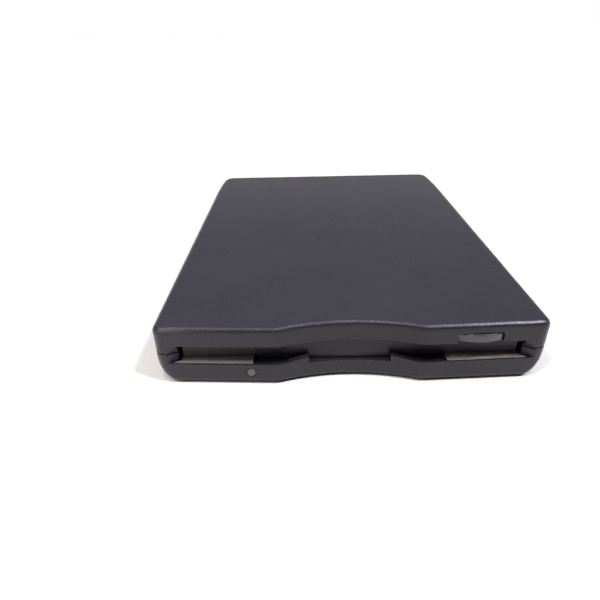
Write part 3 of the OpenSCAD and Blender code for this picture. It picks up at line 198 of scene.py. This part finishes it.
GROUND = Finish(
    "ground_steel",
    (0.55, 0.55, 0.56),
    (0.62, 0.62, 0.63),
    Pattern.TURNED,
    roughness=0.14,
    spread=0.04,
    metallic=1.0,
    grain=0.15 * MM,
    depth=0.05,
    mottle=3 * MM,
)
PRESSED = Finish(
    "pressed_steel",
    (0.48, 0.48, 0.47),
    (0.57, 0.57, 0.55),
    Pattern.TURNED,
    roughness=0.27,
    metallic=1.0,
    grain=0.3 * MM,
    depth=0.08,
    mottle=4 * MM,
)
BRONZE = Finish(
    "sintered_bronze",
    (0.36, 0.22, 0.09),
    (0.44, 0.28, 0.12),
    Pattern.GRAIN,
    roughness=0.42,
    metallic=1.0,
    grain=0.2 * MM,
    depth=0.15,
    mottle=1.5 * MM,
)
COPPER = Finish(
    "enamelled_copper",
    (0.45, 0.16, 0.06),
    (0.55, 0.22, 0.09),
    roughness=0.25,
    metallic=0.9,
    grain=0.15 * MM,
    depth=0.06,
    mottle=2 * MM,
    coat=0.5,
)
MAGNET = Finish(
    "bonded_ferrite",
    (0.022, 0.022, 0.024),
    (0.034, 0.034, 0.036),
    Pattern.GRAIN,
    roughness=0.62,
    grain=0.2 * MM,
    depth=0.22,
    mottle=2 * MM,
)
BOARD = Finish(
    "solder_resist",
    (0.006, 0.055, 0.024),
    (0.012, 0.085, 0.036),
    roughness=0.30,
    grain=0.6 * MM,
    depth=0.12,
    mottle=2.2 * MM,
    coat=0.35,
)
CHIP = Finish(
    "chip_resin",
    (0.010, 0.010, 0.011),
    (0.016, 0.016, 0.017),
    Pattern.GRAIN,
    roughness=0.55,
    grain=0.12 * MM,
    depth=0.14,
    mottle=2 * MM,
)
GLASS_FILLED = Finish(
    "glass_filled_plastic",
    (0.024, 0.024, 0.026),
    (0.036, 0.036, 0.038),
    Pattern.ROLLED_Y,
    roughness=0.48,
    grain=0.3 * MM,
    depth=0.18,
    mottle=3 * MM,
)
CERAMIC = Finish(
    "head_ceramic",
    (0.030, 0.034, 0.038),
    (0.044, 0.048, 0.052),
    roughness=0.12,
    grain=0.1 * MM,
    depth=0.03,
    mottle=1 * MM,
    coat=0.5,
)
IVORY = Finish(
    "pale_plastic",
    (0.68, 0.62, 0.49),
    (0.74, 0.69, 0.57),
    roughness=0.42,
    grain=0.2 * MM,
    depth=0.08,
    mottle=1.5 * MM,
)
FILM = Finish(
    "cable_film",
    (0.70, 0.69, 0.65),
    (0.77, 0.76, 0.72),
    Pattern.ROLLED_Y,
    roughness=0.38,
    grain=0.5 * MM,
    depth=0.25,
    mottle=2 * MM,
)
TAN_CERAMIC = Finish(
    "fired_ceramic",
    (0.30, 0.20, 0.12),
    (0.38, 0.27, 0.17),
    roughness=0.40,
    grain=0.1 * MM,
    depth=0.06,
    mottle=1 * MM,
)


@dataclass(frozen=True)
class Lumps:
    """Settings of a noise.

    Attributes:
        detail: Octaves of finer lumps.
        weight: Weight of the finer lumps.
        band: Band of its values that is stretched to 0..1.
    """

    detail: float
    weight: float
    band: Band = (0.3, 0.7)


PATCHES = Lumps(4.0, 0.55)
FINE = Lumps(3.0, 0.6)
SPECKS = Lumps(2.0, 0.5, (0.66, 0.78))
VEIL = Lumps(3.0, 0.6, (0.35, 0.75))
CLOUD = Lumps(3.0, 0.5)

SPECK_SIZE = 0.5 * MM
VEIL_SIZE = 22 * MM
CLOUD_SIZE = 40 * MM
SPECK_WEIGHT = 4.0
DUST: Colour = (0.42, 0.41, 0.40)

# Height of the relief as a share of its grain, and of the summed noise and pits
RELIEF_SHARE = 0.35
PIT_SHARE = 0.6
ROLLED = 0.06
TURNED = 0.25

# Turn of the edge's normal that counts as worn, and how pale the worn colour is
WORN_BAND: Band = (0.02, 0.20)
WORN_GAIN = 2.2
WORN_LIFT = 0.02

COAT_ROUGHNESS = 0.2
BEVEL_SAMPLES = 4


class NodeGraph:
    """Small helper that adds and joins the nodes of one material or of the world."""

    def __init__(self, owner: Union[bpy.types.Material, bpy.types.World]) -> None:
        """Empties the owner's tree and keeps it.

        Args:
            owner: Material or world whose nodes are made.
        """
        owner.use_nodes = True
        self.tree = owner.node_tree
        self.tree.nodes.clear()

    def add(
        self, kind: str, values: Optional[Dict[Union[str, int], object]] = None, **settings: object
    ) -> bpy.types.Node:
        """Adds a node.

        Args:
            kind: Type name of the node.
            values: Constants or output sockets by the name or number of the input.
            settings: Properties of the node itself.

        Returns:
            The new node.
        """
        node = self.tree.nodes.new(kind)
        for key, value in settings.items():
            setattr(node, key, value)
        for key, value in (values or {}).items():
            self.feed(node, key, value)
        return node

    def feed(self, node: bpy.types.Node, key: Union[str, int], value: object) -> None:
        """Sets or links one input.

        Args:
            node: Node that gets the value.
            key: Name or number of its input.
            value: Constant, or the output socket that feeds it.
        """
        if isinstance(value, bpy.types.NodeSocket):
            self.tree.links.new(value, node.inputs[key])
        elif isinstance(value, tuple) and len(value) == 3 and node.inputs[key].type == "RGBA":
            node.inputs[key].default_value = (*value, 1.0)
        else:
            node.inputs[key].default_value = value

    def math(self, operation: str, a: object, b: object) -> bpy.types.NodeSocket:
        """Adds a two-input Math node.

        Args:
            operation: Name of the operation.
            a: First value or socket.
            b: Second value or socket.

        Returns:
            The result's socket.
        """
        node = self.add("ShaderNodeMath", operation=operation)
        for index, value in enumerate((a, b)):
            self.feed(node, index, value)
        return node.outputs[0]

    def mix(self, factor: object, a: object, b: object) -> bpy.types.NodeSocket:
        """Mixes two colours.

        Args:
            factor: Share of the second colour.
            a: First colour or socket.
            b: Second colour or socket.

        Returns:
            The mixed colour's socket.
        """
        node = self.add("ShaderNodeMix", data_type="RGBA")
        for index, value in ((MIX_FACTOR, factor), (MIX_A, a), (MIX_B, b)):
            self.feed(node, index, value)
        return node.outputs[MIX_RESULT]


class MaterialShop:
    """Builds each finish once and hands it out."""

    def __init__(self) -> None:
        """Starts with no material made."""
        self.made: Dict[str, bpy.types.Material] = {}

    def get(self, finish: Finish) -> bpy.types.Material:
        """The material of a finish.

        Args:
            finish: Finish to build or find.

        Returns:
            Its material.
        """
        if finish.name not in self.made:
            self.made[finish.name] = self.build(finish)
        return self.made[finish.name]

    def build(self, finish: Finish) -> bpy.types.Material:
        """Builds colour patches, dust, relief and softened edges.

        Args:
            finish: Finish to build.

        Returns:
            The new material.
        """
        material = bpy.data.materials.new(finish.name)
        graph = NodeGraph(material)
        place = graph.add("ShaderNodeTexCoord").outputs["Object"]
        patches = self.noise(graph, place, finish.mottle, PATCHES)
        fine = self.relief(graph, place, finish)
        share = self.spread(graph, patches, PATCHES.band)
        colour = graph.mix(share, finish.base, finish.tint)
        if finish.dust:
            colour = self.dusted(graph, place, colour, finish)
        uneven = graph.math("MULTIPLY", graph.math("ADD", patches, fine), 0.5)
        limits = (finish.roughness - finish.spread, finish.roughness + finish.spread)
        rough = self.spread(graph, uneven, PATCHES.band, limits)
        edge = graph.add(
            "ShaderNodeBevel", {"Radius": finish.bevel}, samples=BEVEL_SAMPLES
        ).outputs[0]
        colour = self.rubbed(graph, edge, colour, finish)
        bump = graph.add(
            "ShaderNodeBump",
            {
                "Strength": finish.depth,
                "Distance": finish.grain * RELIEF_SHARE,
                "Height": fine,
                "Normal": edge,
            },
        ).outputs[0]
        shader = graph.add(
            "ShaderNodeBsdfPrincipled",
            {
                "Base Color": colour,
                "Roughness": rough,
                "Metallic": finish.metallic,
                "Coat Weight": finish.coat,
                "Coat Roughness": COAT_ROUGHNESS,
                "Specular IOR Level": finish.specular,
                "Normal": bump,
            },
        )
        graph.add("ShaderNodeOutputMaterial", {"Surface": shader.outputs[0]})
        return material

    @staticmethod
    def noise(
        graph: NodeGraph, place: bpy.types.NodeSocket, size: float, lumps: Lumps
    ) -> bpy.types.NodeSocket:
        """A noise whose lumps are about one size.

        Args:
            graph: Graph to add to.
            place: Coordinates in metres.
            size: Size of the lumps in metres.
            lumps: Octaves and weight of the finer lumps.

        Returns:
            The noise's value.
        """
        values = {
            "Vector": place,
            "Scale": 1 / size,
            "Detail": lumps.detail,
            "Roughness": lumps.weight,
        }
        return graph.add("ShaderNodeTexNoise", values).outputs[0]

    def relief(
        self, graph: NodeGraph, place: bpy.types.NodeSocket, finish: Finish
    ) -> bpy.types.NodeSocket:
        """The fine relief of a finish.

        Args:
            graph: Graph to add to.
            place: Coordinates in metres.
            finish: Finish with the pattern and the grain.

        Returns:
            The height of the relief.
        """
        stretch = {
            Pattern.ROLLED_X: (ROLLED, 1.0, 1.0),
            Pattern.ROLLED_Y: (1.0, ROLLED, 1.0),
            Pattern.TURNED: (1.0, 1.0, TURNED),
        }.get(finish.pattern, (1.0, 1.0, 1.0))
        spot = graph.add("ShaderNodeMapping", {"Vector": place, "Scale": stretch}).outputs[0]
        fine = self.noise(graph, spot, finish.grain, FINE)
        if finish.pattern is not Pattern.GRAIN:
            return fine
        cells = {"Vector": place, "Scale": 1 / finish.grain}
        pits = graph.add("ShaderNodeTexVoronoi", cells, feature="SMOOTH_F1").outputs["Distance"]
        return graph.math("MULTIPLY", graph.math("ADD", fine, pits), PIT_SHARE)

    @staticmethod
    def spread(
        graph: NodeGraph, value: bpy.types.NodeSocket, band: Band, to: Band = (0.0, 1.0)
    ) -> bpy.types.NodeSocket:
        """Stretches a band of a value to another one.

        Args:
            graph: Graph to add to.
            value: Value to stretch.
            band: Lowest and highest value in use.
            to: Values that these two become.

        Returns:
            The stretched value.
        """
        values = {
            "Value": value,
            "From Min": band[0],
            "From Max": band[1],
            "To Min": to[0],
            "To Max": to[1],
        }
        return graph.add("ShaderNodeMapRange", values).outputs[0]

    def rubbed(
        self,
        graph: NodeGraph,
        edge: bpy.types.NodeSocket,
        colour: bpy.types.NodeSocket,
        finish: Finish,
    ) -> bpy.types.NodeSocket:
        """Lightens the sharp edges, where hands have rubbed them.

        Args:
            graph: Graph to add to.
            edge: Normal of the softened edges.
            colour: Colour of the faces.
            finish: Finish with the amount of wear.

        Returns:
            The colour with worn edges.
        """
        flat = graph.add("ShaderNodeNewGeometry").outputs["Normal"]
        along = graph.add(
            "ShaderNodeVectorMath", {0: edge, 1: flat}, operation="DOT_PRODUCT"
        ).outputs["Value"]
        worn = self.spread(graph, graph.math("SUBTRACT", 1.0, along), WORN_BAND)
        pale = tuple(c * WORN_GAIN + WORN_LIFT for c in finish.tint)
        return graph.mix(graph.math("MULTIPLY", worn, finish.wear), colour, pale)

    def dusted(
        self,
        graph: NodeGraph,
        place: bpy.types.NodeSocket,
        colour: bpy.types.NodeSocket,
        finish: Finish,
    ) -> bpy.types.NodeSocket:
        """Adds a little pale dust on faces that look up.

        Args:
            graph: Graph to add to.
            place: Coordinates in metres.
            colour: Colour below the dust.
            finish: Finish with the amount of dust.

        Returns:
            The colour with dust.
        """
        normal = graph.add("ShaderNodeNewGeometry").outputs["Normal"]
        upward = graph.add("ShaderNodeSeparateXYZ", {"Vector": normal}).outputs[2]
        specks = self.noise(graph, place, SPECK_SIZE, SPECKS)
        specks = self.spread(graph, specks, SPECKS.band)
        veil = self.spread(graph, self.noise(graph, place, VEIL_SIZE, VEIL), VEIL.band)
        amount = graph.math("ADD", graph.math("MULTIPLY", specks, SPECK_WEIGHT), veil)
        share = graph.math("MULTIPLY", graph.math("MAXIMUM", upward, 0.0), amount)
        return graph.mix(graph.math("MULTIPLY", share, finish.dust), colour, DUST)


@dataclass
class SubAssembly:
    """A group of CAD nodes with their finishes.

    Attributes:
        finishes: Finish of each CAD node.
        smooth_angle: Faces that meet at less than this angle, in degrees, shade as one.
    """

    finishes: Dict[str, Finish] = field(default_factory=dict)
    smooth_angle: float = 28.0

    def build(self, shop: MaterialShop) -> None:
        """Gives each node its finish and smooth shading.

        Args:
            shop: Source of the materials.
        """
        for name, finish in self.finishes.items():
            self.dress(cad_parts[name], shop.get(finish))
            LOG.info("%s: %s in %s", type(self).__name__, name, finish.name)

    def dress(self, obj: bpy.types.Object, material: bpy.types.Material) -> None:
        """Assigns a material and shades the curved faces as curves.

        Args:
            obj: CAD node.
            material: Its material.
        """
        for slot in obj.material_slots:
            slot.material = material
        if not obj.material_slots:
            obj.data.materials.append(material)
        obj.data.shade_smooth()
        obj.data.set_sharp_from_angle(angle=math.radians(self.smooth_angle))
        normals = obj.modifiers.new("flat faces stay flat", "WEIGHTED_NORMAL")
        normals.keep_sharp = True


@dataclass
class Housing(SubAssembly):
    """Two moulded shells, feet and screws."""

    finishes: Dict[str, Finish] = field(
        default_factory=lambda: {
            "top_cover": SHELL,
            "bottom_cover": SHELL,
            "rubber_feet": RUBBER,
            "case_screws": SCREW,
            "chassis_screws": SCREW,
        }
    )


@dataclass
class FrontFittings(SubAssembly):
    """Door, button and drive light."""

    finishes: Dict[str, Finish] = field(
        default_factory=lambda: {
            # The door's finish is darkened to paint the shade inside the slot.
            "dust_door": DOOR_WITH_PAINTED_SHADE,
            "eject_button": BUTTON,
            "light_pipe": LENS,
            "drive_led": IVORY,
            "door_springs": WIRE,
        }
    )


@dataclass
class SheetMetal(SubAssembly):
    """Chassis, shield, slider, holder and lever."""

    finishes: Dict[str, Finish] = field(
        default_factory=lambda: {
            "chassis": ZINC,
            "top_shield": LONG_ZINC,
            "slider_plate": LONG_ZINC,
            "disk_holder": LONG_ZINC,
            "lever_post": GROUND,
            "shutter_lever": ZINC,
            "lever_spring": WIRE,
            "eject_springs": WIRE,
        }
    )


@dataclass
class SpindleMotor(SubAssembly):
    """Flat motor that turns the disk."""

    finishes: Dict[str, Finish] = field(
        default_factory=lambda: {
            "motor_board": BOARD,
            "stator_coils": COPPER,
            "spindle_bearing": BRONZE,
            "rotor_cup": PRESSED,
            "rotor_magnet": MAGNET,
            "hub_table": PRESSED,
            "spindle_shaft": GROUND,
            "drive_pin": GROUND,
        }
    )


@dataclass
class HeadGear(SubAssembly):
    """Carriage, heads, rods, stepper and lead screw."""

    finishes: Dict[str, Finish] = field(
        default_factory=lambda: {
            "head_carriage": GLASS_FILLED,
            "lower_head": CERAMIC,
            "head_arm": LONG_ZINC,
            "upper_head": CERAMIC,
            "arm_pin": GROUND,
            "guide_rods": GROUND,
            "rod_clamps": GLASS_FILLED,
            "stepper_motor": PRESSED,
            "lead_screw": GROUND,
            "screw_bracket": ZINC,
            "track_zero_sensor": CHIP,
        }
    )


@dataclass
class Electronics(SubAssembly):
    """Boards, chips, switches, cable and socket."""

    finishes: Dict[str, Finish] = field(
        default_factory=lambda: {
            "switch_blocks": GLASS_FILLED,
            "write_protect_plunger": IVORY,
            "density_plunger": IVORY,
            "disk_plunger": IVORY,
            "drive_board": BOARD,
            "drive_chips": CHIP,
            "flat_cable": FILM,
            "interface_board": BOARD,
            "board_screws": SCREW,
            "board_passives": TAN_CERAMIC,
            "board_capacitors": PRESSED,
            "bridge_chip": CHIP,
            "crystal": PRESSED,
            "cable_socket": PRESSED,
            "socket_tongue": CHIP,
        }
    )


@dataclass
class Lamp:
    """A soft rectangular lamp that looks at a point.

    Attributes:
        name: Name of the lamp.
        spot: Place of the lamp.
        target: Point that it looks at.
        size: Width and height in metres.
        power: Power in watts.
        colour: Colour of the light.
    """

    name: str
    spot: Point
    target: Point
    size: Tuple[float, float]
    power: float
    colour: Colour = WHITE

    def build(self) -> bpy.types.Object:
        """Makes the lamp.

        Returns:
            The lamp object.
        """
        data = bpy.data.lights.new(self.name, "AREA")
        data.shape = "RECTANGLE"
        data.size, data.size_y = self.size
        data.energy = self.power
        data.color = self.colour
        obj = bpy.data.objects.new(self.name, data)
        obj.visible_camera = False
        obj.location = self.spot
        look = Vector(self.target) - Vector(self.spot)
        obj.rotation_euler = look.to_track_quat("-Z", "Y").to_euler()
        bpy.context.collection.objects.link(obj)
        return obj


@dataclass
class Sky:
    """A wide soft source far above, which lights the whole table evenly.

    Attributes:
        name: Name of the lamp.
        elevation: Height of its middle above the horizon in degrees.
        azimuth: Direction of its middle, in degrees from the front towards the right.
        angle: Width seen from the table in degrees.
        strength: Light on a face turned towards it, in watts per square metre.
        colour: Colour of the light.
    """

    name: str
    elevation: float
    azimuth: float
    angle: float
    strength: float
    colour: Colour = WHITE

    def build(self) -> bpy.types.Object:
        """Makes the source.

        Returns:
            The lamp object.
        """
        data = bpy.data.lights.new(self.name, "SUN")
        data.angle = math.radians(self.angle)
        data.energy = self.strength
        data.color = self.colour
        obj = bpy.data.objects.new(self.name, data)
        high, side = math.radians(self.elevation), math.radians(self.azimuth)
        towards = Vector(
            (
                math.cos(high) * math.sin(side),
                -math.cos(high) * math.cos(side),
                math.sin(high),
            )
        )
        obj.rotation_euler = (-towards).to_track_quat("-Z", "Y").to_euler()
        obj.location = towards
        bpy.context.collection.objects.link(obj)
        return obj


@dataclass
class Studio:
    """Plain pale table, white surroundings and soft lamps.

    Attributes:
        floor_half: Half width of the table in metres.
        floor_colour: Linear colour of the table.
        floor_patch: Colour of its patches as a share of floor_colour.
        floor_roughness: Roughness of the table.
        floor_specular: Specular level of the table.
        ambient: Strength of the even light from all round.
        ceiling: Strength of the backdrop overhead, where 1 is white.
        backdrop_fade: Elevations in degrees between which the white wall fades to the ceiling.
        lamps: The lamps.
    """

    floor_half: float = 8.0
    floor_colour: Colour = (0.94, 0.92, 0.84)
    floor_patch: float = 0.985
    floor_roughness: float = 0.6
    floor_specular: float = 0.2
    ambient: float = 0.05
    ceiling: float = 0.25
    backdrop_fade: Tuple[float, float] = (5.0, 14.0)
    lamps: Sequence[Union[Lamp, Sky]] = (
        Sky("overhead", 74.0, 175.0, 88.0, 1.00, (0.965, 0.96, 1.20)),
        Sky("window", 57.0, 66.0, 6.0, 1.80, (0.97, 0.98, 1.08)),
        Sky("ceiling_lamp", 70.0, 10.0, 5.0, 0.72, (0.98, 0.98, 1.04)),
        Sky("room_lamp", 60.0, -50.0, 5.0, 0.90, (1.0, 0.90, 0.84)),
        Lamp("left_bounce", (-0.075, -0.105, 0.050), (-0.035, -0.07, 0.009), (0.02, 0.02), 0.010),
    )

    def build(self) -> None:
        """Makes the table, the surroundings and the lamps."""
        for lamp in self.lamps:
            lamp.build()
            LOG.info("Studio: lamp %s", lamp.name)
        self.table()
        self.surroundings()

    def table(self) -> None:
        """Makes the table top at the height of the feet's undersides."""
        half = self.floor_half
        mesh = bpy.data.meshes.new("table_top")
        corners = [(-half, -half, 0), (half, -half, 0), (half, half, 0), (-half, half, 0)]
        mesh.from_pydata(corners, [], [(0, 1, 2, 3)])
        obj = bpy.data.objects.new("table_top", mesh)
        bpy.context.collection.objects.link(obj)
        material = bpy.data.materials.new("table_top")
        graph = NodeGraph(material)
        place = graph.add("ShaderNodeTexCoord").outputs["Object"]
        cloud = MaterialShop.noise(graph, place, CLOUD_SIZE, CLOUD)
        patch = tuple(c * self.floor_patch for c in self.floor_colour)
        shader = graph.add(
            "ShaderNodeBsdfPrincipled",
            {
                "Base Color": graph.mix(cloud, self.floor_colour, patch),
                "Roughness": self.floor_roughness,
                "Specular IOR Level": self.floor_specular,
            },
        )
        graph.add("ShaderNodeOutputMaterial", {"Surface": shader.outputs[0]})
        mesh.materials.append(material)
        LOG.info("Studio: table top")

    def surroundings(self) -> None:
        """Makes the backdrop that is seen and reflected, and a softer light for the rest."""
        world = bpy.context.scene.world or bpy.data.worlds.new("surroundings")
        bpy.context.scene.world = world
        graph = NodeGraph(world)
        rays = graph.add("ShaderNodeLightPath").outputs
        seen = graph.math("MAXIMUM", rays["Is Camera Ray"], rays["Is Glossy Ray"])
        seen = graph.math("MAXIMUM", seen, rays["Is Transmission Ray"])
        ahead = graph.add("ShaderNodeTexCoord").outputs["Generated"]
        height = graph.add("ShaderNodeSeparateXYZ", {"Vector": ahead}).outputs["Z"]
        fade = tuple(math.sin(math.radians(angle)) for angle in self.backdrop_fade)
        level = MaterialShop.spread(graph, height, fade, (1.0, self.ceiling))
        backdrop = graph.add("ShaderNodeBackground", {"Color": WHITE, "Strength": level})
        light = graph.add("ShaderNodeBackground", {"Color": WHITE, "Strength": self.ambient})
        mix = graph.add(
            "ShaderNodeMixShader", {0: seen, 1: light.outputs[0], 2: backdrop.outputs[0]}
        )
        graph.add("ShaderNodeOutputWorld", {"Surface": mix.outputs[0]})
        LOG.info("Studio: surroundings")


@dataclass
class PhotoCamera:
    """Camera at the photograph's viewing angle.

    Attributes:
        spot: Place of the camera in metres.
        pitch: Angle below the horizon in degrees.
        yaw: Turn to the right of +Y in degrees.
        roll: Turn about the line of sight in degrees.
        focal: Focal length in picture widths.
        sensor: Width of the sensor in millimetres.
        clip: Nearest and farthest distance in view in metres.
    """

    spot: Point = (-0.01203, -0.17138, 0.08447)
    pitch: float = 30.04
    yaw: float = -0.55
    roll: float = -1.33
    focal: float = 474.6 / 600
    sensor: float = 36.0
    clip: Tuple[float, float] = (0.005, 10.0)

    def build(self) -> None:
        """Makes the camera and the scene's view transform."""
        pitch, yaw, roll = (math.radians(a) for a in (self.pitch, self.yaw, self.roll))
        ahead = Vector(
            (math.sin(yaw) * math.cos(pitch), math.cos(yaw) * math.cos(pitch), -math.sin(pitch))
        )
        right = Vector((math.cos(yaw), -math.sin(yaw), 0.0))
        up = right.cross(ahead)
        side = right * math.cos(roll) + up * math.sin(roll)
        top = -right * math.sin(roll) + up * math.cos(roll)
        turn = Matrix((side, top, -ahead)).transposed().to_4x4()
        data = bpy.data.cameras.new("photo_camera")
        data.sensor_width = self.sensor
        data.lens = self.sensor * self.focal
        data.clip_start, data.clip_end = self.clip
        obj = bpy.data.objects.new("photo_camera", data)
        obj.matrix_world = Matrix.Translation(self.spot) @ turn
        bpy.context.collection.objects.link(obj)
        bpy.context.scene.camera = obj
        bpy.context.scene.view_settings.view_transform = "Standard"
        LOG.info("PhotoCamera: in place")


def main() -> None:
    """Builds the drive's looks, the studio and the camera."""
    logging.basicConfig(level=logging.INFO, format="%(name)s: %(message)s")
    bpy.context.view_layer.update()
    shop = MaterialShop()
    for group in (
        Housing(),
        FrontFittings(),
        SheetMetal(),
        SpindleMotor(),
        HeadGear(),
        Electronics(),
    ):
        group.build(shop)
    Studio().build()
    PhotoCamera().build()


if __name__ == "__main__":
    main()
